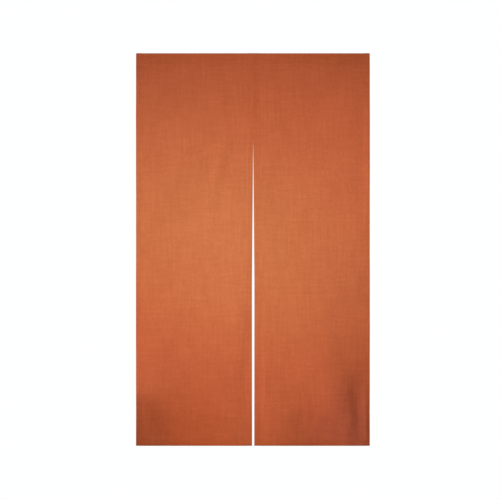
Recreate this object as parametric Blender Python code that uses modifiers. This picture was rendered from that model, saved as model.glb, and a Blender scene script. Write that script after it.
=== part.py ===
"""Noren curtain: two hemmed lengths of terracotta linen, side by side, with a slit between them.

Each length hangs from a pocket, which is its own top end turned over to the back and stitched down.
The two are sewn together edge to edge for the top fifth, and below that the slit opens a little.
Metres, +Z up. The front faces -Y, and the origin is the middle of the top edge.
"""

import math

import bmesh
import bpy

# Whole curtain
HEIGHT = 1.500  # top edge to the lowest point of the foot
HALF_WIDTH = 0.4455  # middle to outer edge, where the cloth hangs flat

# Cloth and hems
CLOTH = 0.0012  # one layer
HEM = 0.0018  # where the edge is turned in twice and pressed flat
SIDE_HEM = 0.0165
FOOT_HEM = 0.021
HEM_STEP = 0.002  # the width over which a hem thins to one layer

# Pocket for the rod
POCKET_DROP = 0.041  # top edge to the stitching that closes the pocket
POCKET_RADIUS = 0.0085  # the outside of the turn over the rod
POCKET_TURN = 0.0025  # the turned end goes this far past the stitching
LAYER_GAP = 0.0003  # between the two layers at the hems
HANG_FREE = 0.030  # the folds start under the pocket and reach their full depth this far below it
STITCH_HEIGHT = 0.0016
STITCH_INSET = 0.003  # from each edge of the panel

# A belly takes up cloth, so it draws the outer edge in and lifts the foot by these shares of its depth.
EDGE_DRAW = 0.084
FOOT_LIFT = 0.141
FOOT_BACK = -0.0197  # how deep the foot lies where it is furthest back

# Seam and slit: where they lie, and how wide the gap is at each depth below the top edge
SLIT_OFF = 0.0010  # from the middle to the right
SEAM_GAP = 0.0003
SEAM_END = 0.328
SLIT_WIDEST_AT = 0.886
SLIT_WIDEST = 0.0095
SLIT_FOOT = 0.0083

# Mesh steps
FIELD_COLUMNS = 19
FIELD_ROWS = 36
FRONT_TURN_STEPS = 3
BACK_TURN_STEPS = 6

LINEN_COLOUR = (0.51, 0.135, 0.052, 1.0)
LINEN_ROUGHNESS = 0.92

# Soft folds. Each runs along a line between two points (x, z), fades over `fade` at its two ends, and is a
# rounded ridge where `out` is positive, or a trough where it is negative. Some lines lie off the cloth.
FOLDS = {
    "left": [
        {"line": ((-0.049, -0.279), (-0.115, -0.337)), "fade": (0.06, 0.07), "width": 0.032, "out": 0.0021},
        {"line": ((-0.097, -0.307), (-0.193, -0.672)), "fade": (0.06, 0.19), "width": 0.024, "out": 0.0018},
        {"line": ((-0.198, -0.175), (-0.374, -0.707)), "fade": (0.07, 0.12), "width": 0.075, "out": 0.0025},
        {"line": ((-0.085, -0.815), (-0.034, -1.127)), "fade": (0.18, 0.12), "width": 0.030, "out": 0.0022},
        {"line": ((-0.304, -0.854), (-0.345, -1.203)), "fade": (0.16, 0.13), "width": 0.039, "out": 0.0023},
        {"line": ((-0.134, -0.989), (-0.238, -1.607)), "fade": (0.22, 0.10), "width": 0.051, "out": -0.0006},
        {"line": ((-0.526, 0.050), (-0.475, -1.309)), "fade": (0.17, 0.30), "width": 0.066, "out": -0.0160},
        {"line": ((0.027, -0.713), (-0.036, -1.434)), "fade": (0.12, 0.23), "width": 0.026, "out": -0.0023},
        {"line": ((-0.383, -0.090), (-0.238, -0.249)), "fade": (0.10, 0.09), "width": 0.042, "out": 0.0031},
        {"line": ((-0.177, -0.341), (-0.218, -0.622)), "fade": (0.10, 0.10), "width": 0.032, "out": 0.0013},
        {"line": ((-0.600, -1.335), (-0.224, -1.311)), "fade": (0.05, 0.28), "width": 0.128, "out": 0.0160},
    ],
    "right": [
        {"line": ((0.095, -0.325), (0.109, -1.358)), "fade": (0.22, 0.13), "width": 0.071, "out": -0.0018},
        {"line": ((0.087, -1.144), (0.094, -1.593)), "fade": (0.27, 0.05), "width": 0.033, "out": 0.0045},
        {"line": ((0.120, -1.319), (0.163, -1.589)), "fade": (0.08, 0.05), "width": 0.033, "out": 0.0040},
        {"line": ((0.184, -1.293), (0.218, -1.598)), "fade": (0.07, 0.05), "width": 0.044, "out": 0.0010},
        {"line": ((0.170, -1.106), (0.438, -1.552)), "fade": (0.35, 0.16), "width": 0.067, "out": 0.0150},
        {"line": ((0.389, -0.024), (0.537, -1.023)), "fade": (0.25, 0.39), "width": 0.160, "out": 0.0159},
        {"line": ((0.600, -1.034), (0.268, -1.677)), "fade": (0.36, 0.04), "width": 0.160, "out": -0.0160},
        {"line": ((0.392, -1.203), (0.411, -1.644)), "fade": (0.11, 0.05), "width": 0.024, "out": -0.0025},
        {"line": ((0.038, -1.117), (0.065, -1.518)), "fade": (0.16, 0.08), "width": 0.021, "out": 0.0027},
        {"line": ((0.263, -0.878), (0.303, -1.220)), "fade": (0.24, 0.11), "width": 0.050, "out": 0.0024},
        {"line": ((0.227, -1.254), (0.598, -1.298)), "fade": (0.11, 0.05), "width": 0.124, "out": 0.0048},
    ],
}

# Below these lines the cloth swings back, with `slope` as its rise over run past the first `ease`.
BENDS = {
    "left": [
        {"line": ((-0.525, -1.345), (-0.315, -1.256)), "fade": (0.04, 0.13), "slope": 0.082, "ease": 0.013},
        {"line": ((-0.446, -1.319), (-0.054, -1.405)), "fade": (0.12, 0.09), "slope": 0.030, "ease": 0.009},
    ],
    "right": [
        {"line": ((0.291, -1.210), (0.506, -1.129)), "fade": (0.12, 0.05), "slope": 0.060, "ease": 0.006},
    ],
}


def smooth(share):
    """0 to 1 with flat ends."""
    share = min(1.0, max(0.0, share))
    return share * share * (3 - 2 * share)


def from_line(row, x, z):
    """Distance from a row's line, positive below one that runs left to right, and how full the row is there."""
    (x0, z0), (x1, z1) = row["line"]
    length = math.hypot(x1 - x0, z1 - z0)
    along_x, along_z = (x1 - x0) / length, (z1 - z0) / length
    along = (x - x0) * along_x + (z - z0) * along_z
    away = (x - x0) * along_z - (z - z0) * along_x
    fade_first, fade_last = row["fade"]
    return away, smooth(along / fade_first) * smooth((length - along) / fade_last)


def fold_depth(side, x, z):
    """How far the cloth stands out towards the front at a point of its face."""
    depth = 0.0
    for fold in FOLDS[side]:
        away, share = from_line(fold, x, z)
        depth += fold["out"] * math.exp(-((away / fold["width"]) ** 2)) * share
    for bend in BENDS[side]:
        away, share = from_line(bend, x, z)
        past = max(0.0, away)
        depth -= bend["slope"] * past * past / (past + bend["ease"]) * share
    return depth * smooth((-POCKET_DROP - POCKET_TURN - z) / HANG_FREE)


def slit_gap(z):
    """Width between the two panels at a height."""
    below = -z
    if below <= SEAM_END:
        return SEAM_GAP
    if below <= SLIT_WIDEST_AT:
        share = (below - SEAM_END) / (SLIT_WIDEST_AT - SEAM_END)
        return SEAM_GAP + (SLIT_WIDEST - SEAM_GAP) * share
    share = (below - SLIT_WIDEST_AT) / (HEIGHT - SLIT_WIDEST_AT)
    return SLIT_WIDEST + (SLIT_FOOT - SLIT_WIDEST) * share


def panel_edges(side, z):
    """The x of a panel's left and right edges at a height."""
    inner = slit_gap(z) / 2
    if side == "left":
        return EDGE_DRAW * fold_depth(side, -HALF_WIDTH, z) - HALF_WIDTH, SLIT_OFF - inner
    return SLIT_OFF + inner, HALF_WIDTH - EDGE_DRAW * fold_depth(side, HALF_WIDTH, z)


def foot_lift(side, x, z):
    """How far the cloth is lifted at a point. It is most at the foot and nothing at the top."""
    return FOOT_LIFT * (fold_depth(side, x, -HEIGHT) - FOOT_BACK) * (z / HEIGHT) ** 2


def spaced(low, high, steps):
    return [low + (high - low) * i / steps for i in range(steps + 1)]


def columns():
    """Places across a panel, as shares of its width, each with whether it lies in a side hem."""
    hem, field = SIDE_HEM / HALF_WIDTH, (SIDE_HEM + HEM_STEP) / HALF_WIDTH
    places = [(0.0, True), (hem, True)]
    places += [(u, False) for u in spaced(field, 1 - field, FIELD_COLUMNS)]
    places += [(1 - hem, True), (1.0, True)]
    return places


def rows():
    """Places along the cloth's outer face, foot first: (y, z, whether it is in the foot hem)."""
    hem_top = FOOT_HEM - HEIGHT
    turned_end = -POCKET_DROP - POCKET_TURN
    places = [(-POCKET_RADIUS, -HEIGHT, True), (-POCKET_RADIUS, hem_top, True)]
    places += [(-POCKET_RADIUS, z, False) for z in spaced(hem_top + HEM_STEP, turned_end, FIELD_ROWS)]

    # The pocket's front hangs straight down from the rod. Its slack back slants to the front.
    foot_y = 2 * HEM + LAYER_GAP - POCKET_RADIUS
    drop = POCKET_DROP - POCKET_RADIUS
    lean = math.asin(POCKET_RADIUS / math.hypot(drop, foot_y)) - math.atan2(foot_y, drop)
    turn = spaced(0.0, math.pi / 2, FRONT_TURN_STEPS)
    turn += spaced(math.pi / 2, math.pi + lean, BACK_TURN_STEPS)[1:]
    for angle in turn:
        y = -POCKET_RADIUS * math.cos(angle)
        z = POCKET_RADIUS * math.sin(angle) - POCKET_RADIUS
        places.append((y, z, False))
    places += [(foot_y, -POCKET_DROP, False), (foot_y, turned_end, False)]
    return places


def linen_material():
    material = bpy.data.materials.new("terracotta_linen")
    material.use_nodes = True
    shader = material.node_tree.nodes["Principled BSDF"]
    shader.inputs["Base Color"].default_value = LINEN_COLOUR
    shader.inputs["Roughness"].default_value = LINEN_ROUGHNESS
    shader.inputs["Metallic"].default_value = 0.0
    return material


def panel_face(name, side):
    """The outer face of one panel: a grid laid up the front, over the turn and down the back of the pocket."""
    across, along = columns(), rows()
    grid = bmesh.new()
    bmesh.ops.create_grid(grid, x_segments=len(across) - 1, y_segments=len(along) - 1, size=1.0)
    mesh = bpy.data.meshes.new(name)
    grid.to_mesh(mesh)
    grid.free()

    hem_points = []
    for vertex in mesh.vertices:
        column = round((vertex.co.x + 1) / 2 * (len(across) - 1))
        row = round((vertex.co.y + 1) / 2 * (len(along) - 1))
        u, in_side_hem = across[column]
        y, z, in_foot_hem = along[row]
        left, right = panel_edges(side, z)
        x = left + (right - left) * u
        vertex.co = (x, y - fold_depth(side, x, z), z + foot_lift(side, x, z))
        if in_side_hem or in_foot_hem:
            hem_points.append(vertex.index)
    return mesh, hem_points


def pocket_stitching(name, side):
    """The line of stitching that ties the pocket's two layers together."""
    left, right = panel_edges(side, -POCKET_DROP)
    length = right - left - 2 * STITCH_INSET
    between = HEM + LAYER_GAP / 2 - POCKET_RADIUS
    bpy.ops.mesh.primitive_cube_add(size=1.0, location=((left + right) / 2, between, -POCKET_DROP))
    stitching = bpy.context.object
    stitching.name = name
    stitching.scale = (length, 2 * HEM + LAYER_GAP - CLOTH, STITCH_HEIGHT)
    stitching.hide_render = True
    stitching.display_type = "WIRE"
    return stitching


def panel(side, material, pieces, helpers):
    """One length of linen, hemmed down both sides and across the foot, with its pocket."""
    name = side + "_panel"
    mesh, hem_points = panel_face(name, side)
    cloth = bpy.data.objects.new(name, mesh)
    pieces.objects.link(cloth)
    mesh.materials.append(material)
    mesh.shade_smooth()

    hems = cloth.vertex_groups.new(name="hems")
    hems.add(hem_points, 1.0, "REPLACE")
    solidify = cloth.modifiers.new("thickness", "SOLIDIFY")
    solidify.thickness = HEM
    solidify.offset = -1.0
    solidify.use_even_offset = True
    solidify.vertex_group = hems.name
    solidify.thickness_vertex_group = CLOTH / HEM

    stitching = pocket_stitching(name + "_pocket_stitching", side)
    for collection in list(stitching.users_collection):
        collection.objects.unlink(stitching)
    helpers.objects.link(stitching)
    join = cloth.modifiers.new("pocket stitching", "BOOLEAN")
    join.operation = "UNION"
    join.object = stitching
    return cloth


def collection_named(name):
    collection = bpy.data.collections.new(name)
    bpy.context.scene.collection.children.link(collection)
    return collection


for old in list(bpy.data.objects):
    bpy.data.objects.remove(old)
curtain = collection_named("noren_curtain")
helpers = collection_named("helpers")
linen = linen_material()
for side in ("left", "right"):
    panel(side, linen, curtain, helpers)
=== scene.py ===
"""Noren curtain of terracotta linen: the finish of the cloth and its stitching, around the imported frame."""

import math

import bpy
import numpy as np
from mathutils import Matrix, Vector


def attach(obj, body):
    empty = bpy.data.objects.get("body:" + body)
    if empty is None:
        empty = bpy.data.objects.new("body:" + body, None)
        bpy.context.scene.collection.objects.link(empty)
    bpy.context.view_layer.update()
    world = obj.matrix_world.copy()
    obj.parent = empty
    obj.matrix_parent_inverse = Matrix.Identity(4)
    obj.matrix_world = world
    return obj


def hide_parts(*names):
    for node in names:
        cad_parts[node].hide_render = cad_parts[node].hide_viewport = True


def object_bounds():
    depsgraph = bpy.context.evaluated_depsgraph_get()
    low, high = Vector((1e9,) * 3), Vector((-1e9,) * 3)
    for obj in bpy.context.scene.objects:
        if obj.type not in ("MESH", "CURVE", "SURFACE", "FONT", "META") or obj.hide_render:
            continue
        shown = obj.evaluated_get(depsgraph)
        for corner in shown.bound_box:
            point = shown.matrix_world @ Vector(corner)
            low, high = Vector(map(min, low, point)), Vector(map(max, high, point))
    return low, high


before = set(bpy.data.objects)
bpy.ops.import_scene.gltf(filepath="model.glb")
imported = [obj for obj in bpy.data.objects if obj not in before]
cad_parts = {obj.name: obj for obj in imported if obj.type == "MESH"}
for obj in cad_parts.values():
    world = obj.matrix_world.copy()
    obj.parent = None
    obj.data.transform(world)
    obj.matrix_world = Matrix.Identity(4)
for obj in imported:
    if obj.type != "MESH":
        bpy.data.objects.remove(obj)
cad_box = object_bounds()


# ---------------------------------------------------------------------------------------------------
# The two lengths of linen. Each is one cut of plain woven, mid-weight linen. Its long edges are turned
# in twice and sewn, then its foot, and last its top end is turned over to the back as the rod pocket.
# They hang a little uneven: soft bellies, a rolled slit edge, and a trough near the right foot corner.

LINEN = 0.00045  # thickness of the cloth
LAYER = 0.00052  # from one layer to the next in a pressed hem
SIDE_HEM = 0.0165
FOOT_HEM = 0.0210
SIDE_STITCH = 0.0150  # the side hem's stitching, from the edge
FOOT_STITCH = 0.0192
POCKET_STITCH = 0.0410  # below the top edge
POCKET_TURN = 0.0025  # the turned end reaches this far below its stitching
POCKET_LAP = 0.0120  # how much is turned in at the pocket's end
LAP_FOLD = 0.002  # the part of that which its fold takes up
POCKET_RADIUS = 0.0085  # the outside of the turn over the rod
RAW_EDGE = 0.0035  # the cut edge inside a hem stays this far from the hem's outer fold
HEM_LIFT = 0.00035  # a hem's layers lift the face this much
HEM_EASE = 0.0025  # the width over which that lift fades out
GROOVE_DEPTH = 0.00035  # a row of stitching pulls the face in this far
BACK_GROOVE = 0.00030  # and the pocket's back this far
GROOVE_WIDTH = 0.0013
PUCKER = 0.00010  # height of the ripples beside a row of stitching
PUCKER_WIDTH = 0.0070
COCKLE = 0.00009  # height of the woven cloth's own unevenness
TOP = cad_box[1].z
FOOT = cad_box[0].z
HALF_WIDTH = 0.4455  # middle to outer edge, where the cloth hangs flat
HANG_FREE = 0.030  # the folds start under the pocket and reach their full depth this far below it
BOLT_PLACE = {"left": 0.0, "right": 0.56}  # where on the bolt's width each length was cut

SLIT_OFF = 0.0010  # the seam and the slit lie this far to the right of the middle
SEAM_GAP = -0.00006  # the two edges just touch
SEAM_PRESS = 0.00060  # where they are sewn, the thread presses them this much closer
PRESS_EASE = 0.09  # the length above the seam's end over which the pressing sets in
SEAM_RIDGE = 0.0004  # the sewn edges stand out this far
SEAM_RIDGE_WIDTH = 0.0055
RIDGE_EASE = 0.05  # the length above the seam's end over which the ridge rises
RIDGE_TOP = 0.006  # it ends this far below the top edge, where the cloth turns over
RIDGE_TOP_EASE = 0.012
SEAM_END = 0.328  # the edges start to part this far below the top
SLIT_WIDEST_AT = 0.886
SLIT_WIDEST = 0.0095
SLIT_FOOT = 0.0083

# A belly takes up cloth, so it draws the outer edge in and lifts the foot by these shares of its depth.
EDGE_DRAW = 0.084
FOOT_LIFT = 0.141
FOOT_BACK = -0.0197  # how deep the foot lies where it is furthest back

# Painted shade: the colour is made darker where layers lie behind the face, for less light coming through.
# These are the side hems' and the pocket's shares against the foot hem's.
SIDE_HEM_SHADE = 0.35
POCKET_TOP_SHADE = 0.90
TOP_FADE_FROM = 0.006  # below the top edge, where the pocket's share starts to fade
TOP_FADE = 0.066  # the length over which it fades, as the pocket's back stands off from its front

CELL = 0.0055  # the size of the mesh's squares on the open cloth
FIELD_INSET = 0.0028  # the squares start this far past a side hem
FOLD_STEP = 0.0004  # along the cloth, between two rows of the mesh in a fold
HEM_END_STEP = 0.0082  # and in the end that is turned in
HEM_BACK_STEP = 0.0045  # and on the back of the foot hem
FOOT_EASE = 0.016  # the rows above the foot's fold are evened out over this height
OPEN_CLOTH = 0.30  # this far above the foot the only hems are the side ones

# Each fold runs along a line between two points (x, z) and fades over `fade` at its two ends. It is a
# rounded ridge where `out` is positive, or a trough where it is negative. Some lines lie off the cloth.
# The rows here and in BENDS weren't placed by hand: most are exactly as a least-squares fit to the photo's
# light and dark gave them. The fit kept `out` within 0.016, and three rows stand at that limit.
FOLDS = {
    "left": [
        {"line": ((-0.049, -0.279), (-0.115, -0.337)), "fade": (0.06, 0.07), "width": 0.032, "out": 0.0021},
        {"line": ((-0.097, -0.307), (-0.193, -0.672)), "fade": (0.06, 0.19), "width": 0.024, "out": 0.0018},
        {"line": ((-0.198, -0.175), (-0.374, -0.707)), "fade": (0.07, 0.12), "width": 0.075, "out": 0.0025},
        {"line": ((-0.085, -0.815), (-0.034, -1.127)), "fade": (0.18, 0.12), "width": 0.030, "out": 0.0022},
        {"line": ((-0.304, -0.854), (-0.345, -1.203)), "fade": (0.16, 0.13), "width": 0.039, "out": 0.0023},
        {"line": ((-0.134, -0.989), (-0.238, -1.607)), "fade": (0.22, 0.10), "width": 0.051, "out": -0.0006},
        {"line": ((-0.526, 0.050), (-0.475, -1.309)), "fade": (0.17, 0.30), "width": 0.066, "out": -0.0160},
        {"line": ((0.027, -0.713), (-0.036, -1.434)), "fade": (0.12, 0.23), "width": 0.026, "out": -0.0023},
        {"line": ((-0.383, -0.090), (-0.238, -0.249)), "fade": (0.10, 0.09), "width": 0.042, "out": 0.0031},
        {"line": ((-0.177, -0.341), (-0.218, -0.622)), "fade": (0.10, 0.10), "width": 0.032, "out": 0.0013},
        {"line": ((-0.034, -0.498), (-0.085, -0.775)), "fade": (0.06, 0.06), "width": 0.019, "out": -0.0005},
        {"line": ((-0.600, -1.335), (-0.224, -1.311)), "fade": (0.05, 0.28), "width": 0.128, "out": 0.0160},
        {"line": ((-0.018, -0.326), (-0.123, -0.454)), "fade": (0.04, 0.03), "width": 0.020, "out": -0.0003},
        {"line": ((-0.106, -0.342), (-0.171, -0.693)), "fade": (0.04, 0.03), "width": 0.013, "out": 0.0004},
        {"line": ((-0.081, -0.470), (-0.077, -0.788)), "fade": (0.12, 0.10), "width": 0.038, "out": 0.0014},
        {"line": ((-0.426, -1.365), (0.010, -1.396)), "fade": (0.08, 0.14), "width": 0.020, "out": 0.0004},
        {"line": ((-0.463, -1.283), (-0.289, -1.356)), "fade": (0.03, 0.15), "width": 0.035, "out": 0.0027},
        {"line": ((-0.042, -1.174), (-0.033, -1.302)), "fade": (0.03, 0.07), "width": 0.013, "out": -0.0010},
        {"line": ((-0.431, -1.241), (-0.282, -1.602)), "fade": (0.07, 0.03), "width": 0.017, "out": -0.0021},
        {"line": ((-0.239, -0.878), (-0.360, -1.192)), "fade": (0.05, 0.03), "width": 0.021, "out": 0.0004},
        {"line": ((-0.074, -0.342), (-0.217, -0.508)), "fade": (0.05, 0.03), "width": 0.021, "out": -0.0005},
        {"line": ((-0.209, -0.318), (-0.216, -0.511)), "fade": (0.11, 0.07), "width": 0.009, "out": 0.0005},
        {"line": ((-0.124, -0.496), (-0.179, -0.549)), "fade": (0.02, 0.02), "width": 0.014, "out": -0.0005},
        {"line": ((-0.403, -1.233), (-0.391, -1.474)), "fade": (0.08, 0.10), "width": 0.022, "out": 0.0016},
        {"line": ((-0.400, -1.302), (-0.337, -1.430)), "fade": (0.05, 0.07), "width": 0.026, "out": 0.0013},
        {"line": ((-0.386, -1.346), (-0.366, -1.562)), "fade": (0.12, 0.02), "width": 0.040, "out": 0.0030},
        {"line": ((-0.294, -1.348), (-0.249, -1.451)), "fade": (0.03, 0.04), "width": 0.015, "out": 0.0007},
        {"line": ((-0.338, -1.449), (-0.340, -1.588)), "fade": (0.02, 0.03), "width": 0.019, "out": 0.0007},
    ],
    "right": [
        {"line": ((0.095, -0.325), (0.109, -1.358)), "fade": (0.22, 0.13), "width": 0.071, "out": -0.0018},
        {"line": ((0.087, -1.144), (0.094, -1.593)), "fade": (0.27, 0.05), "width": 0.033, "out": 0.0045},
        {"line": ((0.120, -1.319), (0.163, -1.589)), "fade": (0.08, 0.05), "width": 0.033, "out": 0.0040},
        {"line": ((0.184, -1.293), (0.218, -1.598)), "fade": (0.07, 0.05), "width": 0.044, "out": 0.0010},
        {"line": ((0.170, -1.106), (0.438, -1.552)), "fade": (0.35, 0.16), "width": 0.067, "out": 0.0150},
        {"line": ((0.389, -0.024), (0.537, -1.023)), "fade": (0.25, 0.39), "width": 0.160, "out": 0.0159},
        {"line": ((0.600, -1.034), (0.268, -1.677)), "fade": (0.36, 0.04), "width": 0.160, "out": -0.0160},
        {"line": ((0.392, -1.203), (0.411, -1.644)), "fade": (0.11, 0.05), "width": 0.024, "out": -0.0025},
        {"line": ((0.445, -0.104), (0.440, -0.717)), "fade": (0.17, 0.30), "width": 0.018, "out": 0.0028},
        {"line": ((0.038, -1.117), (0.065, -1.518)), "fade": (0.16, 0.08), "width": 0.021, "out": 0.0027},
        {"line": ((0.263, -0.878), (0.303, -1.220)), "fade": (0.24, 0.11), "width": 0.050, "out": 0.0024},
        {"line": ((0.227, -1.254), (0.598, -1.298)), "fade": (0.11, 0.05), "width": 0.124, "out": 0.0048},
        {"line": ((0.389, -1.244), (0.284, -1.593)), "fade": (0.03, 0.04), "width": 0.017, "out": -0.0003},
        {"line": ((0.427, -1.315), (0.422, -1.600)), "fade": (0.03, 0.04), "width": 0.017, "out": 0.0008},
        {"line": ((0.287, -1.346), (0.173, -1.572)), "fade": (0.03, 0.04), "width": 0.019, "out": 0.0004},
        {"line": ((0.166, -1.353), (0.268, -1.570)), "fade": (0.05, 0.04), "width": 0.023, "out": -0.0008},
        {"line": ((0.033, -0.917), (0.034, -1.552)), "fade": (0.14, 0.03), "width": 0.006, "out": -0.0004},
        {"line": ((0.322, -1.048), (0.367, -1.228)), "fade": (0.03, 0.03), "width": 0.015, "out": -0.0003},
        {"line": ((0.052, -0.636), (0.112, -0.992)), "fade": (0.07, 0.04), "width": 0.023, "out": 0.0006},
        {"line": ((0.183, -1.279), (0.228, -1.395)), "fade": (0.05, 0.03), "width": 0.014, "out": 0.0008},
        {"line": ((0.227, -1.382), (0.289, -1.388)), "fade": (0.07, 0.02), "width": 0.016, "out": 0.0006},
        {"line": ((0.153, -1.365), (0.165, -1.465)), "fade": (0.06, 0.04), "width": 0.015, "out": 0.0005},
        {"line": ((0.287, -1.336), (0.302, -1.467)), "fade": (0.04, 0.07), "width": 0.013, "out": 0.0005},
        {"line": ((0.198, -1.402), (0.188, -1.519)), "fade": (0.03, 0.03), "width": 0.018, "out": 0.0005},
        {"line": ((0.065, -1.461), (0.149, -1.504)), "fade": (0.03, 0.02), "width": 0.017, "out": 0.0007},
        {"line": ((0.428, -1.232), (0.436, -1.498)), "fade": (0.06, 0.02), "width": 0.010, "out": 0.0009},
        {"line": ((0.368, -1.169), (0.439, -1.178)), "fade": (0.02, 0.02), "width": 0.012, "out": 0.0007},
        {"line": ((0.371, -1.229), (0.387, -1.320)), "fade": (0.02, 0.02), "width": 0.014, "out": -0.0004},
        {"line": ((0.389, -1.385), (0.398, -1.480)), "fade": (0.02, 0.06), "width": 0.016, "out": -0.0004},
    ],
}

# Below these lines the cloth swings back, with `slope` as its rise over run past the first `ease`.
BENDS = {
    "left": [
        {"line": ((-0.525, -1.345), (-0.315, -1.256)), "fade": (0.04, 0.13), "slope": 0.082, "ease": 0.013},
        {"line": ((-0.446, -1.319), (-0.054, -1.405)), "fade": (0.12, 0.09), "slope": 0.030, "ease": 0.009},
    ],
    "right": [
        {"line": ((0.291, -1.210), (0.506, -1.129)), "fade": (0.12, 0.05), "slope": 0.060, "ease": 0.006},
    ],
}


def smooth(share):
    """0 to 1 with flat ends."""
    share = np.clip(share, 0.0, 1.0)
    return share * share * (3 - 2 * share)


def from_line(row, x, z):
    """Distance from a row's line, positive below one that runs left to right, and the row's share there."""
    (x0, z0), (x1, z1) = row["line"]
    length = math.hypot(x1 - x0, z1 - z0)
    along_x, along_z = (x1 - x0) / length, (z1 - z0) / length
    along = (x - x0) * along_x + (z - z0) * along_z
    away = (x - x0) * along_z - (z - z0) * along_x
    fade_first, fade_last = row["fade"]
    return away, smooth(along / fade_first) * smooth((length - along) / fade_last)


def fold_depth(side, x, z):
    """How far the cloth stands out towards the front."""
    depth = np.zeros_like(x)
    for fold in FOLDS[side]:
        away, share = from_line(fold, x, z)
        depth = depth + fold["out"] * np.exp(-((away / fold["width"]) ** 2)) * share
    for bend in BENDS[side]:
        away, share = from_line(bend, x, z)
        past = np.maximum(away, 0.0)
        depth = depth - bend["slope"] * past * past / (past + bend["ease"]) * share
    return depth * smooth((TOP - POCKET_STITCH - POCKET_TURN - z) / HANG_FREE)


COCKLES = np.random.default_rng(7).uniform(-1, 1, (26, 4))


def cockle(x, z):
    """The slight unevenness that woven linen keeps even where it hangs flat."""
    height = np.zeros_like(x)
    for a, b, phase, size in COCKLES:
        height = height + (0.6 + 0.4 * size) * np.sin(62 * a * x + 38 * b * z + 9 * phase)
    return COCKLE * height * smooth((TOP - POCKET_STITCH - POCKET_TURN - z) / HANG_FREE)


def slit_gap(z):
    """Width between the two lengths at a height."""
    below = TOP - z
    opening = (below - SEAM_END) / (SLIT_WIDEST_AT - SEAM_END)
    closing = (below - SLIT_WIDEST_AT) / (TOP - FOOT - SLIT_WIDEST_AT)
    gap = SEAM_GAP + (SLIT_WIDEST - SEAM_GAP) * np.clip(opening, 0, 1)
    gap = gap - SEAM_PRESS * smooth((SEAM_END - below) / PRESS_EASE)
    return gap + (SLIT_FOOT - SLIT_WIDEST) * np.clip(closing, 0, 1)


def panel_edges(side, z):
    """The x of a length's left and right edges at a height. The outer one isn't quite straight."""
    outer = np.full_like(z, -HALF_WIDTH if side == "left" else HALF_WIDTH, dtype=float)
    drawn = EDGE_DRAW * fold_depth(side, outer, z)
    drawn = drawn + 0.0002 * np.sin(9.1 * z + 1.3) + 0.0001 * np.sin(31 * z)
    if side == "left":
        return outer + drawn, SLIT_OFF - slit_gap(z) / 2
    return SLIT_OFF + slit_gap(z) / 2, outer - drawn


def foot_lift(side, x, z):
    """How far the cloth is lifted. It is most at the foot and nothing at the top."""
    share = np.clip((TOP - z) / (TOP - FOOT), 0, 1) ** 2
    return FOOT_LIFT * (fold_depth(side, x, np.full_like(x, FOOT)) - FOOT_BACK) * share


def hem_share(edge_distance, width):
    """1 on a hem and 0 on the open cloth, from the distance to the hem's outer fold."""
    return 1 - smooth((edge_distance - width) / HEM_EASE)


def relief(side, x, z):
    """How far hems, stitched grooves and puckers lift the face from the smooth folds."""
    left, right = panel_edges(side, z)
    from_side = np.minimum(x - left, right - x)
    from_foot = z - FOOT
    from_top = TOP - z
    lift = HEM_LIFT * np.maximum(hem_share(from_side, SIDE_HEM), hem_share(from_foot, FOOT_HEM))
    for distance, along in (
        (from_side - SIDE_STITCH, z),
        (from_foot - FOOT_STITCH, x),
        (from_top - POCKET_STITCH, x),
    ):
        lift = lift - GROOVE_DEPTH * np.exp(-((distance / GROOVE_WIDTH) ** 2))
        pull = np.sin(along / 0.0021 + 1.7 * np.sin(along / 0.013)) + 0.6 * np.sin(along / 0.0047)
        lift = lift + PUCKER * pull * np.exp(-((distance / PUCKER_WIDTH) ** 2))
    seam = smooth((z + SEAM_END) / RIDGE_EASE) * smooth((TOP - RIDGE_TOP - z) / RIDGE_TOP_EASE)
    return lift + SEAM_RIDGE * np.exp(-(((x - SLIT_OFF) / SEAM_RIDGE_WIDTH) ** 2)) * seam


def face_y(side, x, z):
    """The y of the cloth's front surface from its foot to the turn of the pocket."""
    return -POCKET_RADIUS - relief(side, x, z) - fold_depth(side, x, z) - cockle(x, z)


def spaced(low, high, step):
    """Even places from low to high, both included."""
    return np.linspace(low, high, max(1, round(abs(high - low) / step)) + 1)


def across_places(width):
    """Places across one length, from the cut edge inside its left hem to the one inside its right hem.

    Each is (distance from the length's left edge, layers behind the front one, distance along the cloth).
    """
    turn = LAYER + LINEN / 2  # the outer fold's centre, from the edge
    inner = SIDE_HEM - (LAYER + LINEN) / 2
    half_turn = np.linspace(0, math.pi, 5)
    hem = [(x, 1.0) for x in (RAW_EDGE, 0.0095, inner)]
    hem += [(inner + LAYER / 2 * math.sin(a), 1.5 - 0.5 * math.cos(a)) for a in half_turn[1:-1]]
    hem += [(x, 2.0) for x in (inner, 0.0140, 0.0098, 0.0055, turn)]
    hem += [(turn - LAYER * math.sin(a), 1 + math.cos(a)) for a in half_turn[1:-1]]
    hem += [(x, 0.0) for x in (turn, 0.0012, 0.0024, 0.0050, 0.0090, 0.0125, 0.0139)]
    hem += [(x, 0.0) for x in (SIDE_STITCH, 0.0161, 0.0172)]
    field = [(x, 0.0) for x in spaced(SIDE_HEM + FIELD_INSET, width - SIDE_HEM - FIELD_INSET, CELL)]
    places = hem + field + [(width - x, layer) for x, layer in reversed(hem)]
    run = [0.0]
    for (x0, layer0), (x1, layer1) in zip(places, places[1:]):
        run.append(run[-1] + math.hypot(x1 - x0, (layer1 - layer0) * LAYER))
    return np.array([(x, layer, c) for (x, layer), c in zip(places, run)])


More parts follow.
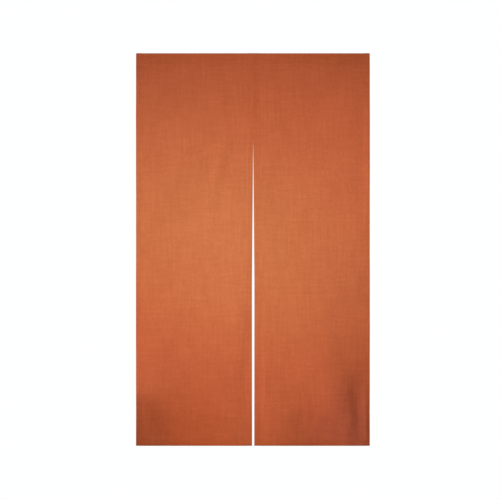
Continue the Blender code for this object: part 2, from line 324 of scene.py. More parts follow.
def pocket_outline(stack):
    """The pocket's outer face as (y, z) places over the turn and down the back, to below its stitching.

    The front hangs straight down from the rod, and the slack back slants to the front at the pocket's foot.
    stack is how thick the cloth's hems and turned end make that foot.
    """
    foot = np.array((stack - POCKET_RADIUS, -POCKET_STITCH))
    drop = POCKET_STITCH - POCKET_RADIUS
    lean = math.asin(POCKET_RADIUS / math.hypot(drop, foot[0])) - math.atan2(foot[0], drop)
    outline = []
    for angle in np.linspace(0, math.pi + lean, 19)[1:]:
        outline.append(POCKET_RADIUS * np.array((-math.cos(angle), math.sin(angle) - 1)))
    wall = outline[-1]
    outline += [wall + (foot - wall) * share for share in (0.2, 0.4, 0.6, 0.76, 0.87, 0.94, 0.97, 1.0)]
    outline += [foot - (0, POCKET_TURN * share) for share in (0.25, 0.5)]
    return np.array(outline)


def inward(outline):
    """Unit directions from an outline's places to its inside."""
    run = np.gradient(outline, axis=0)
    normal = np.stack([run[:, 1], -run[:, 0]], axis=1)
    return normal / np.linalg.norm(normal, axis=1)[:, None]


def cloth_rows(side):
    """The cloth's middle surface row by row, from the cut edge in the foot hem to the one in the pocket.

    Gives the places across, the rows' points, their levels before the foot is lifted, each row's distance
    along the cloth and its part of the cloth.
    """
    width = HALF_WIDTH
    places = across_places(width)
    x_share, layer = places[:, 0] / width, places[:, 1]
    edge = np.minimum(places[:, 0], width - places[:, 0])
    hems = 1 + 2 * hem_share(edge, SIDE_HEM)  # layers that lie on each other here
    rows, run, parts = [], [0.0], []

    def x_at(z):
        left, right = panel_edges(side, z)
        return left + (right - left) * x_share

    def add(part, x, y, z, step):
        rows.append(np.stack([x, y, z], axis=1))
        run.append(run[-1] + step)
        parts.append(part)

    def add_flat(part, z, depth, step):
        """A row that lies `depth` layers behind the face."""
        x = x_at(z)
        add(part, x, face_y(side, x, z) + LINEN / 2 + depth * LAYER, z, step)

    # Foot hem: the turned-in end, its fold, the back of the hem and the fold at the foot.
    outer = (3 * hems - 1) / 2
    inner = (2 * hems - 1) / 2
    low = FOOT + LINEN / 2 + outer * LAYER
    high = FOOT + FOOT_HEM - LINEN / 2 - inner * LAYER
    for share in (0.0, 0.5, 1.0):
        z = FOOT + RAW_EDGE + (high - FOOT - RAW_EDGE) * share
        add_flat("foot end", z, hems + layer, HEM_END_STEP)
    for angle in np.linspace(math.pi, 0, 5)[1:-1]:
        radius = inner - layer
        z = high + radius * LAYER * math.sin(angle)
        add_flat("foot end", z, (4 * hems - 1) / 2 + radius * math.cos(angle), FOLD_STEP)
    for share in (1.0, 0.85, 0.55, 0.28, 0.0):
        add_flat("foot back", low + (high - low) * share, (3 * hems - 1) - layer, HEM_BACK_STEP)
    for angle in np.linspace(0, math.pi, 6)[1:-1]:
        radius = outer - layer
        z = low - radius * LAYER * math.sin(angle)
        add_flat("foot turn", z, outer + radius * math.cos(angle), FOLD_STEP)

    # The front, from the foot over the pocket's stitching to the turn.
    heights = [0.0, 0.0045, 0.009, 0.0135, 0.0180, FOOT_STITCH, 0.0204, 0.0225]
    pocket_foot = TOP - FOOT - POCKET_STITCH
    heights += list(spaced(0.0275, pocket_foot - 0.0040, CELL))
    heights += [pocket_foot + near for near in (-0.0014, -0.0007, 0.0, 0.0007, 0.0014, 0.0035)]
    heights += list(spaced(pocket_foot + 0.0075, TOP - FOOT - POCKET_RADIUS, CELL))
    before = 0.0
    for height in heights:
        start = (low - FOOT) * (1 - smooth(height / FOOT_EASE))
        add_flat("front", FOOT + height + start, layer, height - before)
        before = height

    # The pocket's turn and back, then its end turned in behind the stitching.
    outlines = [pocket_outline(LINEN + (3 * m - 1) * LAYER) for m in hems]
    outline, direction = np.array(outlines), np.array([inward(o) for o in outlines])
    for i in range(outline.shape[1]):
        x = x_at(outline[:, i, 1])
        groove = BACK_GROOVE * np.exp(-(((outline[:, i, 1] + POCKET_STITCH) / GROOVE_WIDTH) ** 2))
        depth = LINEN / 2 + layer * LAYER - relief(side, x, np.full_like(x, FOOT + OPEN_CLOTH)) + groove
        y, z = (outline[:, i] + direction[:, i] * depth[:, None]).T
        step = outline[0, i] - (outline[0, i - 1] if i else (-POCKET_RADIUS, -POCKET_RADIUS))
        add("over", x, y, z, float(np.hypot(*step)))
    back_y = outline[:, -1, 0]
    end_low = TOP - POCKET_STITCH - POCKET_TURN + LINEN / 2 + inner * LAYER
    for angle in np.linspace(0, math.pi, 6)[1:]:
        radius = inner - layer
        depth = inner - radius * math.cos(angle)
        z = end_low - radius * LAYER * math.sin(angle)
        add("pocket end", x_at(z), back_y - LINEN / 2 - depth * LAYER, z, FOLD_STEP)
    turned = (2 * hems - 1) - layer
    climb = outline[:, -4, 1] - outline[:, -1, 1]
    for rise in (0.5, 1.0):
        z = end_low + (POCKET_LAP - LAP_FOLD) * rise
        stand = (outline[:, -4, 0] - back_y) * (z - outline[:, -1, 1]) / climb
        add("pocket end", x_at(z), back_y + stand - LINEN / 2 - turned * LAYER, z, POCKET_LAP / 2)
    rows = np.array(rows)
    levels = rows[:, :, 2].copy()
    rows[:, :, 2] += foot_lift(side, rows[:, :, 0], levels)
    return places, rows, levels, run[1:], np.array(parts)


def linen_mesh(side):
    """One length of linen as a sheet with its own weave directions as a UV map, in metres."""
    places, rows, levels, run, parts = cloth_rows(side)
    columns = len(places)
    points = rows.reshape(-1, 3)
    faces = []
    for r in range(len(rows) - 1):
        for c in range(columns - 1):
            a = r * columns + c
            faces.append((a, a + 1, a + 1 + columns, a + columns))
    mesh = bpy.data.meshes.new(side + "_linen")
    mesh.from_pydata(points.tolist(), [], faces)
    weave = mesh.uv_layers.new(name="weave")
    corners = np.zeros(len(mesh.loops), np.int32)
    mesh.loops.foreach_get("vertex_index", corners)
    bolt = places[corners % columns, 2] + BOLT_PLACE[side]
    uv = np.stack([bolt, np.array(run)[corners // columns]], axis=1)
    weave.data.foreach_set("uv", uv.astype(np.float32).ravel())

    # Painted shade: how much darker each point is made for the layers behind it, which keep light from coming
    # through.
    edge = np.minimum(places[:, 0], HALF_WIDTH - places[:, 0])
    side_hem = SIDE_HEM_SHADE * np.tile(hem_share(edge, SIDE_HEM), len(rows))
    foot_hem = hem_share(levels.ravel() - FOOT, FOOT_HEM)
    pocket = POCKET_TOP_SHADE * (1 - smooth((TOP - levels.ravel() - TOP_FADE_FROM) / TOP_FADE))
    layer_shade = np.maximum(np.maximum(side_hem, foot_hem), pocket)
    mesh.attributes.new("layer_shade", "FLOAT", "POINT").data.foreach_set("value", layer_shade.astype(np.float32))
    mesh.shade_smooth()
    cut = (float(places[-1, 2]), float(run[-1]))
    return mesh, cut, (places, rows, levels, parts)


def node(tree, kind, inputs=(), **settings):
    """A new node with its settings. An input is a value or another node's output."""
    made = tree.nodes.new(kind)
    for name, value in settings.items():
        setattr(made, name, value)
    for name, value in dict(inputs).items():
        if isinstance(value, bpy.types.NodeSocket):
            tree.links.new(value, made.inputs[name])
        else:
            made.inputs[name].default_value = value
    return made


def maths(tree, operation, first, second=0.0, third=0.0):
    return node(tree, "ShaderNodeMath", {0: first, 1: second, 2: third}, operation=operation).outputs[0]


def streaks(tree, u, v, across, along, seed):
    """Noise drawn out along one thread direction, from 0 to 1."""
    wide = maths(tree, "MULTIPLY", u, 1 / across)
    long = maths(tree, "MULTIPLY", v, 1 / along)
    place = node(tree, "ShaderNodeCombineXYZ", {0: wide, 1: long, 2: seed})
    noise = node(tree, "ShaderNodeTexNoise",
                 {"Vector": place.outputs[0], "Scale": 1.0, "Detail": 2.0, "Roughness": 0.55})
    return noise.outputs["Fac"]


def linen_finish():
    """Plain woven, piece-dyed linen: uneven yarns, slubs both ways, soft mottling, a dry warm sheen."""
    yarn = 0.00072  # from one thread to the next
    wander = 1.3  # how far a thread strays, in threads
    slub_swell = 0.60  # how much thicker a slub makes its thread
    deep = (0.385, 0.086, 0.027, 1)
    mid = (0.560, 0.155, 0.0535, 1)
    pale = (0.680, 0.260, 0.108, 1)
    mean_height = 0.62  # of the threads, from 0 to 1
    # painted shade in the low places between threads, and painted light on their crowns
    painted_gap_shade = 0.35  # how much the threads' height changes the tone
    paler = 0.05  # the whole cloth's tone against mid
    material = bpy.data.materials.new("terracotta_linen")
    material.use_nodes = True
    tree = material.node_tree
    shader = tree.nodes["Principled BSDF"]
    weave = node(tree, "ShaderNodeUVMap", uv_map="weave")
    split = node(tree, "ShaderNodeSeparateXYZ", {0: weave.outputs[0]})
    u, v = split.outputs[0], split.outputs[1]

    # The threads wander a little and aren't evenly thick.
    def wandering(along, noise):
        """Which thread a place lies in, counted in threads."""
        off = maths(tree, "MULTIPLY", maths(tree, "SUBTRACT", noise, 0.5), wander)
        return maths(tree, "ADD", maths(tree, "MULTIPLY", along, 1 / yarn), off)

    warp = wandering(u, streaks(tree, u, v, 0.004, 0.030, 1.0))
    weft = wandering(v, streaks(tree, u, v, 0.030, 0.004, 2.0))

    def thread(along, over):
        """Height of one set of threads: round across, and rising and dipping in turn over the other set."""
        place = maths(tree, "SUBTRACT", maths(tree, "MULTIPLY", maths(tree, "FRACT", along), 2.0), 1.0)
        crown = maths(tree, "SUBTRACT", 1.0, maths(tree, "MULTIPLY", place, place))
        turn = maths(tree, "ADD", over, maths(tree, "FLOOR", along))
        rise = maths(tree, "SINE", maths(tree, "MULTIPLY", turn, math.pi))
        return maths(tree, "MULTIPLY", crown, maths(tree, "MULTIPLY_ADD", rise, 0.42, 0.58))

    # Slubs are short thick stretches of one yarn. Wider bands, a dozen threads or more across, come from
    # the yarn's slow changes of thickness.
    def slub(across, along, seed, low, high):
        """Streaks that show only where their noise is above low, and fully from high on."""
        fac = streaks(tree, u, v, across, along, seed)
        ramp = node(tree, "ShaderNodeMapRange", {"Value": fac, "From Min": low, "From Max": high},
                    interpolation_type="SMOOTHSTEP")
        return ramp.outputs[0]

    def thickened(height, by):
        """A thread's height where a slub makes it thicker."""
        return maths(tree, "MULTIPLY", height, maths(tree, "MULTIPLY_ADD", by, slub_swell, 1.0))

    slub_weft = slub(0.038, 0.0013, 3.0, 0.57, 0.77)
    slub_warp = slub(0.0013, 0.046, 4.0, 0.59, 0.79)
    wide_weft = slub(0.090, 0.0100, 5.0, 0.35, 0.65)
    wide_warp = slub(0.0100, 0.120, 6.0, 0.35, 0.65)
    mottle = streaks(tree, u, v, 0.050, 0.065, 7.0)
    drift = streaks(tree, u, v, 0.240, 0.330, 8.0)
    fuzz = streaks(tree, u, v, 0.0016, 0.0016, 9.0)
    speckle = streaks(tree, u, v, 0.0100, 0.0100, 10.0)
    warp_height = thickened(thread(warp, weft), slub_warp)
    weft_height = thickened(thread(weft, maths(tree, "ADD", warp, 1.0)), slub_weft)
    cloth_height = maths(tree, "MAXIMUM", warp_height, weft_height)

    tone = maths(tree, "MULTIPLY_ADD", maths(tree, "SUBTRACT", wide_weft, 0.5), 0.070, 0.50)
    for part, weight in (
        (wide_warp, 0.075), (mottle, 0.13), (drift, 0.11), (speckle, 0.27), (fuzz, 0.09),
        (slub_weft, 0.14), (slub_warp, 0.11),
    ):
        tone = maths(tree, "MULTIPLY_ADD", maths(tree, "SUBTRACT", part, 0.5), weight, tone)
    # Painted shade: the low places between threads are darker, and painted light makes their crowns paler.
    above = maths(tree, "SUBTRACT", cloth_height, mean_height)
    tone = maths(tree, "MULTIPLY_ADD", above, painted_gap_shade, tone)
    tone = maths(tree, "ADD", tone, paler)
    colour = node(tree, "ShaderNodeValToRGB", {"Fac": tone})
    ramp = colour.color_ramp
    ramp.elements[0].color = deep
    ramp.elements[1].color = pale
    ramp.elements.new(0.5).color = mid

    # Painted shade: where more layers lie behind the face, the colour is made a little darker and fuller,
    # for less light coming through.
    layer_shade = node(tree, "ShaderNodeAttribute", attribute_name="layer_shade")
    layer_shaded = node(tree, "ShaderNodeHueSaturation",
                  {"Saturation": 1.02, "Value": 0.955, "Fac": layer_shade.outputs["Fac"],
                   "Color": colour.outputs[0]})

    # Painted highlight: a broad slanting patch in the middle, where the light falls brightest, keeps a paler
    # orange, and the rest is made a deeper red. Painted light near the foot: the right corner gets a bluer
    # painted shade, and the left one a redder painted bounce light.
    place = node(tree, "ShaderNodeTexCoord").outputs["Object"]

    def off_patch(middle, half, lean=0.0):
        """0 in the middle of an oval patch, rising to 1 at its rim."""
        patch = node(tree, "ShaderNodeMapping",
                     {"Vector": place, "Location": (middle[0], 0.0, middle[1]),
                      "Rotation": (0.0, lean, 0.0), "Scale": (half[0], 1.0, half[1])},
                     vector_type="TEXTURE")
        away = node(tree, "ShaderNodeVectorMath", {0: patch.outputs[0]}, operation="LENGTH")
        return node(tree, "ShaderNodeMapRange", {"Value": away.outputs["Value"]},
                    interpolation_type="SMOOTHSTEP").outputs[0]

    def tinted(cloth, share, tint):
        """The cloth's colour multiplied by a tint, by a share from 0 to 1."""
        mix = node(tree, "ShaderNodeMix", {0: share, 6: cloth, 7: tint},
                   data_type="RGBA", blend_type="MULTIPLY")
        return mix.outputs[2]

    # This patch's place, size, lean and tint came from a fit to the photo's colour.
    outside_highlight = off_patch((-0.10, -0.685), (1.016, 0.652), 0.272)
    cloth = tinted(layer_shaded.outputs[0], outside_highlight, (1.0, 0.717, 0.722, 1))
    for middle, half, tint in (
        # the right foot corner's painted cool shade
        ((0.40, -1.46), (0.28, 0.32), (1.0, 1.03, 1.38, 1)),
        # the left foot corner's painted warm bounce light
        ((-0.22, -1.42), (0.24, 0.22), (1.0, 0.93, 0.82, 1)),
    ):
        cloth = tinted(cloth, maths(tree, "SUBTRACT", 1.0, off_patch(middle, half)), tint)
    tree.links.new(cloth, shader.inputs["Base Color"])

    height = maths(tree, "MULTIPLY_ADD", fuzz, 0.25, cloth_height)
    bump = node(tree, "ShaderNodeBump", {"Height": height, "Strength": 0.9, "Distance": 0.00022})
    tree.links.new(bump.outputs[0], shader.inputs["Normal"])
    shader.inputs["Roughness"].default_value = 0.62
    shader.inputs["Specular IOR Level"].default_value = 0.35
    shader.inputs["Specular Tint"].default_value = (1.0, 0.80, 0.52, 1)
    shader.inputs["Sheen Weight"].default_value = 0.10
    shader.inputs["Sheen Roughness"].default_value = 0.45
    shader.inputs["Sheen Tint"].default_value = (1.0, 0.66, 0.42, 1)
    return material


linen = linen_finish()
laid_out = {}  # each length's rows, which the stitching follows
for side in ("left", "right"):
    mesh, cut, laid_out[side] = linen_mesh(side)
    length = bpy.data.objects.new(side + "_linen", mesh)
    bpy.context.scene.collection.objects.link(length)
    mesh.materials.append(linen)
    thickness = length.modifiers.new("thickness", "SOLIDIFY")
    thickness.thickness = LINEN
    thickness.offset = 0.0
    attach(length, "root")
    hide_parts(side + "_panel")


# ---------------------------------------------------------------------------------------------------
# Hem and pocket stitching. A lockstitch in thread of the linen's own colour, about eight stitches to the
# inch, through every layer of the hem. Each stitch lies in its groove and dips into the cloth at both ends.

THREAD = 0.00045
HEM_PITCH = 0.0031
STITCH_SHARE = 0.90  # how much of the pitch shows as thread
HEM_UNEVENNESS = 0.10  # the range over which the stitches' directions vary, in radians
BACK_ROW_UP = 0.003  # the side hem's row on the back starts this far above the foot hem
BACK_ROW_DOWN = 0.004  # and ends this far below the pocket's row


def row_of_stitches():
    """Geometry Nodes that lay short arcs of thread along a path, turned from it by Slant."""
    tree = bpy.data.node_groups.new("row_of_stitches", "GeometryNodeTree")
    face = tree.interface
    face.new_socket("Path", in_out="INPUT", socket_type="NodeSocketGeometry")
    for name in ("Pitch", "Length", "Thread", "Slant", "Unevenness"):
        face.new_socket(name, in_out="INPUT", socket_type="NodeSocketFloat")
    face.new_socket("Finish", in_out="INPUT", socket_type="NodeSocketMaterial")
    face.new_socket("Stitches", in_out="OUTPUT", socket_type="NodeSocketGeometry")
    given = node(tree, "NodeGroupInput").outputs

    def scaled(value, by):
        return node(tree, "ShaderNodeMath", {0: value, 1: by}, operation="MULTIPLY").outputs[0]

    # One stitch: an arc of thread whose middle stands up and whose ends are under the face.
    dip = scaled(given["Thread"], -0.70)
    start = node(tree, "ShaderNodeCombineXYZ", {"X": scaled(given["Length"], -0.5), "Z": dip})
    end = node(tree, "ShaderNodeCombineXYZ", {"X": scaled(given["Length"], 0.5), "Z": dip})
    top = node(tree, "ShaderNodeCombineXYZ", {"Z": scaled(given["Thread"], 1.35)})
    arc = node(tree, "GeometryNodeCurveQuadraticBezier",
               {"Resolution": 4, "Start": start.outputs[0], "Middle": top.outputs[0],
                "End": end.outputs[0]})
    walked = node(tree, "GeometryNodeSplineParameter")
    lay = node(tree, "GeometryNodeStoreNamedAttribute",
               {"Geometry": arc.outputs[0], "Name": "lay", "Value": walked.outputs["Length"]},
               data_type="FLOAT", domain="POINT")
    ring = node(tree, "GeometryNodeCurvePrimitiveCircle",
                {"Resolution": 5, "Radius": scaled(given["Thread"], 0.5)})
    round_it = node(tree, "GeometryNodeSplineParameter")
    turned = node(tree, "GeometryNodeStoreNamedAttribute",
                  {"Geometry": ring.outputs[0], "Name": "turn", "Value": round_it.outputs["Factor"]},
                  data_type="FLOAT", domain="POINT")
    stitch = node(tree, "GeometryNodeCurveToMesh",
                  {"Curve": lay.outputs[0], "Profile Curve": turned.outputs[0], "Fill Caps": True})

    # The stitches along the path, each with its x along the path and its z out of the cloth.
    curve = node(tree, "GeometryNodeMeshToCurve", {0: given["Path"]})
    spaced_out = node(tree, "GeometryNodeResampleCurve",
                      {"Curve": curve.outputs[0], "Length": given["Pitch"]}, mode="LENGTH")
    tangent = node(tree, "GeometryNodeInputTangent")
    out = node(tree, "GeometryNodeInputNamedAttribute", {"Name": "out"}, data_type="FLOAT_VECTOR")
    facing = node(tree, "FunctionNodeAxesToRotation", {0: tangent.outputs[0], 1: out.outputs[0]},
                  primary_axis="X", secondary_axis="Z")
    uneven = node(tree, "FunctionNodeRandomValue", {"Min": (0, 0, 0), "Max": (0, 0, 1), "Seed": 5},
                  data_type="FLOAT_VECTOR")
    off = node(tree, "ShaderNodeVectorMath", {0: uneven.outputs[0], 1: (0.0, 0.0, 0.5)},
               operation="SUBTRACT")
    skew = node(tree, "ShaderNodeVectorMath", {0: off.outputs[0], "Scale": given["Unevenness"]},
                operation="SCALE")
    leaning = node(tree, "ShaderNodeCombineXYZ", {"Z": given["Slant"]})
    turn_by = node(tree, "ShaderNodeVectorMath", {0: skew.outputs[0], 1: leaning.outputs[0]},
                   operation="ADD")
    turned_by = node(tree, "FunctionNodeEulerToRotation", {0: turn_by.outputs[0]})
    rotation = node(tree, "FunctionNodeRotateRotation", {0: facing.outputs[0], 1: turned_by.outputs[0]},
                    rotation_space="LOCAL")
    laid = node(tree, "GeometryNodeInstanceOnPoints",
                {"Points": spaced_out.outputs[0], "Instance": stitch.outputs[0],
                 "Rotation": rotation.outputs[0]})
    real = node(tree, "GeometryNodeRealizeInstances", {0: laid.outputs[0]})
    rounded = node(tree, "GeometryNodeSetShadeSmooth", {0: real.outputs[0]})
    finished = node(tree, "GeometryNodeSetMaterial",
                    {"Geometry": rounded.outputs[0], "Material": given["Finish"]})
    node(tree, "NodeGroupOutput", {0: finished.outputs[0]})
    return tree


def thread_finish():
    """Plied sewing thread dyed to match the linen, a little smoother than the cloth."""
    ply_length = 0.00062  # along the stitch, from one ply to the next
    material = bpy.data.materials.new("matching_thread")
    material.use_nodes = True
    tree = material.node_tree
    shader = tree.nodes["Principled BSDF"]
    lay = node(tree, "ShaderNodeAttribute", attribute_name="lay")
    turn = node(tree, "ShaderNodeAttribute", attribute_name="turn")
    twist = maths(tree, "MULTIPLY", turn.outputs["Fac"], 2)
    plies = maths(tree, "MULTIPLY_ADD", lay.outputs["Fac"], 1 / ply_length, twist)
    ply = maths(tree, "PINGPONG", plies, 0.5)
    place = node(tree, "ShaderNodeTexCoord")
    patch = node(tree, "ShaderNodeTexNoise",
                 {"Vector": place.outputs["Object"], "Scale": 210.0, "Detail": 2.0})
    # Painted shade in the grooves between plies and painted light on their crowns, with random patches of
    # tone.
    tone = maths(tree, "MULTIPLY_ADD", ply, 0.9, maths(tree, "MULTIPLY", patch.outputs["Fac"], 0.55))
    colour = node(tree, "ShaderNodeValToRGB", {"Fac": tone})
    colour.color_ramp.elements[0].color = (0.400, 0.088, 0.031, 1)
    colour.color_ramp.elements[1].color = (0.610, 0.185, 0.078, 1)
    bump = node(tree, "ShaderNodeBump", {"Height": ply, "Strength": 0.7, "Distance": 0.00006})
    tree.links.new(colour.outputs[0], shader.inputs["Base Color"])
    tree.links.new(bump.outputs[0], shader.inputs["Normal"])
    shader.inputs["Roughness"].default_value = 0.50
    shader.inputs["Specular IOR Level"].default_value = 0.40
    shader.inputs["Sheen Weight"].default_value = 0.12
    shader.inputs["Sheen Tint"].default_value = (1.0, 0.66, 0.42, 1)
    return material


def trimmed(line, by):
    """A line of points without the first and last `by` metres of it."""
    run = np.concatenate([[0.0], np.cumsum(np.linalg.norm(np.diff(line[:, :3], axis=0), axis=1))])
    inside = run[(run > by) & (run < run[-1] - by)]
    places = np.concatenate([[by], inside, [run[-1] - by]])
    return np.stack([np.interp(places, run, line[:, k]) for k in range(line.shape[1])], axis=1)


def sewn(name, lines, pitch, length, thread, slant, unevenness):
    """A piece of stitches along lines of (x, y, z, outward x, outward y, outward z)."""
    lines = [trimmed(line, pitch / 2) for line in lines]
    ends = np.cumsum([0] + [len(line) for line in lines])
    edges = [(i, i + 1) for start, end in zip(ends, ends[1:]) for i in range(start, end - 1)]
    path = bpy.data.meshes.new(name + "_path")
    joined = np.concatenate(lines)
    path.from_pydata(joined[:, :3].tolist(), edges, [])
    path.attributes.new("out", "FLOAT_VECTOR", "POINT").data.foreach_set("vector", joined[:, 3:].ravel())
    guide = bpy.data.objects.new(name + "_path", path)
    bpy.context.scene.collection.objects.link(guide)
    sewing = guide.modifiers.new("sewing", "NODES")
    sewing.node_group = stitch_tree
    values = {"Pitch": pitch, "Length": length, "Thread": thread, "Slant": slant,
              "Unevenness": unevenness, "Finish": thread_colour}
    for socket in stitch_tree.interface.items_tree:
        if socket.name in values:
            sewing[socket.identifier] = values[socket.name]
    bpy.context.view_layer.update()
    made = bpy.data.meshes.new_from_object(guide.evaluated_get(bpy.context.evaluated_depsgraph_get()))
    guide.modifiers.remove(sewing)
    bpy.data.objects.remove(guide)
    made.name = name
    stitches = bpy.data.objects.new(name, made)
    bpy.context.scene.collection.objects.link(stitches)
    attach(stitches, "root")
    return stitches


def outside(rows):
    """Rows of the cloth's middle surface as places on its outer face, each with its outward direction."""
    out = np.cross(np.gradient(rows, axis=1), np.gradient(rows, axis=0))
    out /= np.maximum(np.linalg.norm(out, axis=2, keepdims=True), 1e-12)
    return np.concatenate([rows + out * (LINEN / 2 + THREAD * 0.05), out], axis=2)


def hem_lines(side):
    """Where the machine ran on one length: both side hems, the foot hem and the pocket, front and back."""
    places, rows, z, parts = laid_out[side]
    faces = outside(rows)
    edge = np.minimum(places[:, 0], HALF_WIDTH - places[:, 0])
    front = np.flatnonzero(places[:, 1] == 0.0)
    lines = []

    # Side hems: on the face over the rod to the pocket's foot, and on the back between foot hem and pocket.
    over = (parts == "front") | ((parts == "over") & (z[:, front[0]] > TOP - POCKET_STITCH))
    between = (parts == "front") & (z[:, front[0]] > FOOT + FOOT_HEM + BACK_ROW_UP)
    between &= z[:, front[0]] < TOP - POCKET_STITCH - BACK_ROW_DOWN
    for column in front[np.abs(edge[front] - SIDE_STITCH) < 1e-6]:
        lines.append(faces[over, column])
    deep = np.flatnonzero(places[:, 1] == 2.0)
    for half in (deep[: len(deep) // 2], deep[len(deep) // 2:]):
        near, far = sorted(half, key=lambda c: abs(edge[c] - SIDE_STITCH))[:2]
        share = (edge[near] - SIDE_STITCH) / (edge[near] - edge[far])
        lines.append(faces[between, near] * (1 - share) + faces[between, far] * share)

    # Foot hem, front and back, then the pocket's foot, front and back.
    heights = z[:, front[len(front) // 2]]
    for part, height in (("front", FOOT + FOOT_STITCH), ("foot back", FOOT + FOOT_STITCH),
                         ("front", TOP - POCKET_STITCH), ("over", TOP - POCKET_STITCH)):
        row = min(np.flatnonzero(parts == part), key=lambda r: abs(heights[r] - height))
        lines.append(faces[row, front])
    return lines


stitch_tree = row_of_stitches()
thread_colour = thread_finish()
for side in ("left", "right"):
    sewn(side + "_stitching", hem_lines(side), pitch=HEM_PITCH, length=HEM_PITCH * STITCH_SHARE,
         thread=THREAD, slant=0.0, unevenness=HEM_UNEVENNESS)


# ---------------------------------------------------------------------------------------------------
# Centre seam. The two lengths meet edge to edge and are whipped together by hand in a slightly thicker
# thread, from the top edge over the pocket's front and back and on down, through the folded hem edges.

SEAM_FOOT = -0.268  # the height of the last stitch
SEAM_PITCH = 0.0042
SEAM_STITCH = 0.0031
SEAM_THREAD = 0.00050
SEAM_SLANT = 1.15  # of each stitch against the seam, in radians
SEAM_UNEVENNESS = 0.30
SEAM_LAP = 0.001  # the row over the pocket ends this far below the pocket's stitching
SEAM_BACK = 0.005  # and the row behind the cloth starts this far below it


def seam_lines():
    """Along the touching edges: over the pocket's outside, and on the cloth's back below the pocket."""
    places, rows, levels, parts = laid_out["left"]
    last = np.flatnonzero(places[:, 1] == 0.0)[-1]
    faces = outside(rows)[:, last]
    z = levels[:, last]
    over = ((parts == "front") & (z > SEAM_FOOT)) | ((parts == "over") & (z > TOP - POCKET_STITCH - SEAM_LAP))
    behind = (parts == "front") & (z > SEAM_FOOT) & (z < TOP - POCKET_STITCH - SEAM_BACK)
    outer = faces[over].copy()
    back = faces[behind].copy()
    back[:, 1] += LINEN + 2 * LAYER
    back[:, 3:] *= -1
    for line in (outer, back):
        line[:, 0] = SLIT_OFF
        line[:, 3] = 0.0
    return [outer, back]


sewn("centre_seam", seam_lines(), pitch=SEAM_PITCH, length=SEAM_STITCH, thread=SEAM_THREAD,
     slant=SEAM_SLANT, unevenness=SEAM_UNEVENNESS)


# ---------------------------------------------------------------------------------------------------
# Bar tacks. Where the seam ends, a short bar of close satin stitches on the front and one on the back
# keep the slit from tearing upwards.

TACK_HALF = 0.0042  # from the seam to the bar's end
TACK_Z = -0.272
TACK_HEIGHT = 0.0026
TACK_PITCH = 0.00036
TACK_UNEVENNESS = 0.16


def tack_lines():
    """Across the end of the seam, front and back."""
    x = SLIT_OFF + np.linspace(-TACK_HALF, TACK_HALF, 9)
    z = np.full_like(x, TACK_Z)
    front = face_y("left", SLIT_OFF - np.abs(x - SLIT_OFF), z) - THREAD * 0.4
    back = front + LINEN + 2 * LAYER + THREAD * 0.8
    lines = []
    for y, out in ((front, -1.0), (back, 1.0)):
        still = np.zeros_like(x)
        lines.append(np.stack([x, y, z, still, still + out, still], axis=1))
    return lines


sewn("bar_tack", tack_lines(), pitch=TACK_PITCH, length=TACK_HEIGHT, thread=THREAD,
     slant=math.pi / 2, unevenness=TACK_UNEVENNESS)


# ---------------------------------------------------------------------------------------------------
# Surroundings: a pale floor well below the foot, white all round, and soft studio light. The key light is
# high at the front left, a small lamp stands close in front, and two wide lamps light the back.

FLOOR_Z = -3.10
FLOOR_RADIUS = 1.25
FLOOR_COLOUR = (0.93, 0.93, 0.92, 1)
FLOOR_ROUGHNESS = 0.8
WHITE = (0.995, 0.998, 1.0, 1)  # what the camera sees all round
ROOM_COLOUR = (1.0, 0.985, 0.96, 1)  # what the white walls throw back on the cloth
ROOM_LIGHT = 0.031

bpy.ops.mesh.primitive_circle_add(
    vertices=96, radius=FLOOR_RADIUS, fill_type="NGON", location=(0, 0, FLOOR_Z))
floor = bpy.context.object
floor.name = "floor"
pale = bpy.data.materials.new("pale_floor")
pale.use_nodes = True
pale.node_tree.nodes["Principled BSDF"].inputs["Base Color"].default_value = FLOOR_COLOUR
pale.node_tree.nodes["Principled BSDF"].inputs["Roughness"].default_value = FLOOR_ROUGHNESS
floor.data.materials.append(pale)

world = bpy.data.worlds.new("white_room")
bpy.context.scene.world = world
world.use_nodes = True
sky = world.node_tree
sky.nodes.clear()
seen = node(sky, "ShaderNodeBackground", {"Color": WHITE, "Strength": 1.0})
dim = node(sky, "ShaderNodeBackground", {"Color": ROOM_COLOUR, "Strength": ROOM_LIGHT})
path = node(sky, "ShaderNodeLightPath")
mix = node(sky, "ShaderNodeMixShader",
           {0: path.outputs["Is Camera Ray"], 1: dim.outputs[0], 2: seen.outputs[0]})
node(sky, "ShaderNodeOutputWorld", {0: mix.outputs[0]})

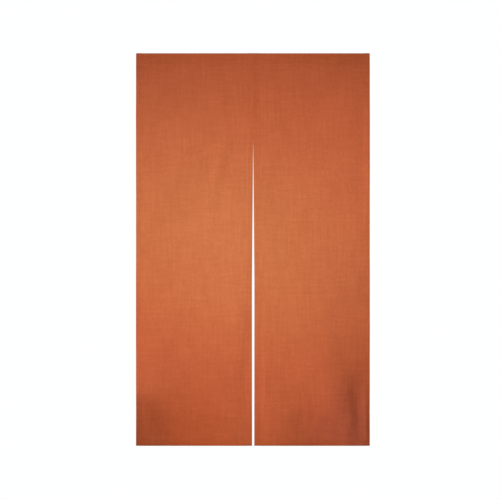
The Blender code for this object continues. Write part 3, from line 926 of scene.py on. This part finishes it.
# The front lamp's place and power, and the key light's aim, cone and power, came from a fit to the photo.
LIGHTS = [
    {"name": "front", "place": (-0.128, -1.041, -0.833), "aim": (-0.128, 0.0, -0.833),
     "size": 0.40, "power": 5.20},
    {"name": "back_left", "place": (-1.60, 2.20, -0.20), "aim": (0.0, 0.0, -0.75),
     "size": 1.4, "power": 46.0},
    {"name": "back_right", "place": (1.50, 2.40, -0.50), "aim": (0.0, 0.0, -0.80),
     "size": 1.4, "power": 36.0},
]
KEY_PLACE = (-2.6, -2.6, 1.8)
KEY_AIM = (1.804, 0.0, -2.419)
KEY_CONE = 0.915
KEY_SIZE = 0.35
KEY_POWER = 1167.0
LAMP_COLOUR = (1.0, 0.985, 0.965)

for row in LIGHTS:
    lamp = bpy.data.lights.new(row["name"], "AREA")
    lamp.shape = "DISK"
    lamp.size = row["size"]
    lamp.energy = row["power"]
    lamp.color = LAMP_COLOUR
    stand = bpy.data.objects.new(row["name"], lamp)
    stand.location = row["place"]
    stand.rotation_euler = (Vector(row["aim"]) - Vector(row["place"])).to_track_quat("-Z", "Y").to_euler()
    stand.visible_camera = False
    bpy.context.scene.collection.objects.link(stand)

key = bpy.data.lights.new("key", "SPOT")
key.energy = KEY_POWER
key.spot_size = KEY_CONE
key.spot_blend = 1.0
key.shadow_soft_size = KEY_SIZE
key.color = LAMP_COLOUR
key_stand = bpy.data.objects.new("key", key)
key_stand.location = KEY_PLACE
key_stand.rotation_euler = (Vector(KEY_AIM) - Vector(KEY_PLACE)).to_track_quat("-Z", "Y").to_euler()
bpy.context.scene.collection.objects.link(key_stand)


# ---------------------------------------------------------------------------------------------------
# Camera: straight on and framed as in the photo, from far enough away that the curtain's sides stay
# square. It stands level with the middle of the picture.

LENS = 100.0
SENSOR = 36.0
METRES_PER_PIXEL = 0.003817
PICTURE = 500
CENTRE = (252.90, 53.3)  # where the middle of the top edge lies in the picture, in pixels

eye = bpy.data.cameras.new("camera")
eye.lens = LENS
eye.sensor_width = SENSOR
distance = PICTURE * METRES_PER_PIXEL * LENS / SENSOR
camera = bpy.data.objects.new("camera", eye)
camera.location = (
    (PICTURE / 2 - CENTRE[0]) * METRES_PER_PIXEL,
    -distance,
    -(PICTURE / 2 - CENTRE[1]) * METRES_PER_PIXEL,
)
camera.rotation_euler = (math.pi / 2, 0, 0)
bpy.context.scene.collection.objects.link(camera)
bpy.context.scene.camera = camera
bpy.context.scene.view_settings.view_transform = "Standard"

bpy.context.view_layer.update()
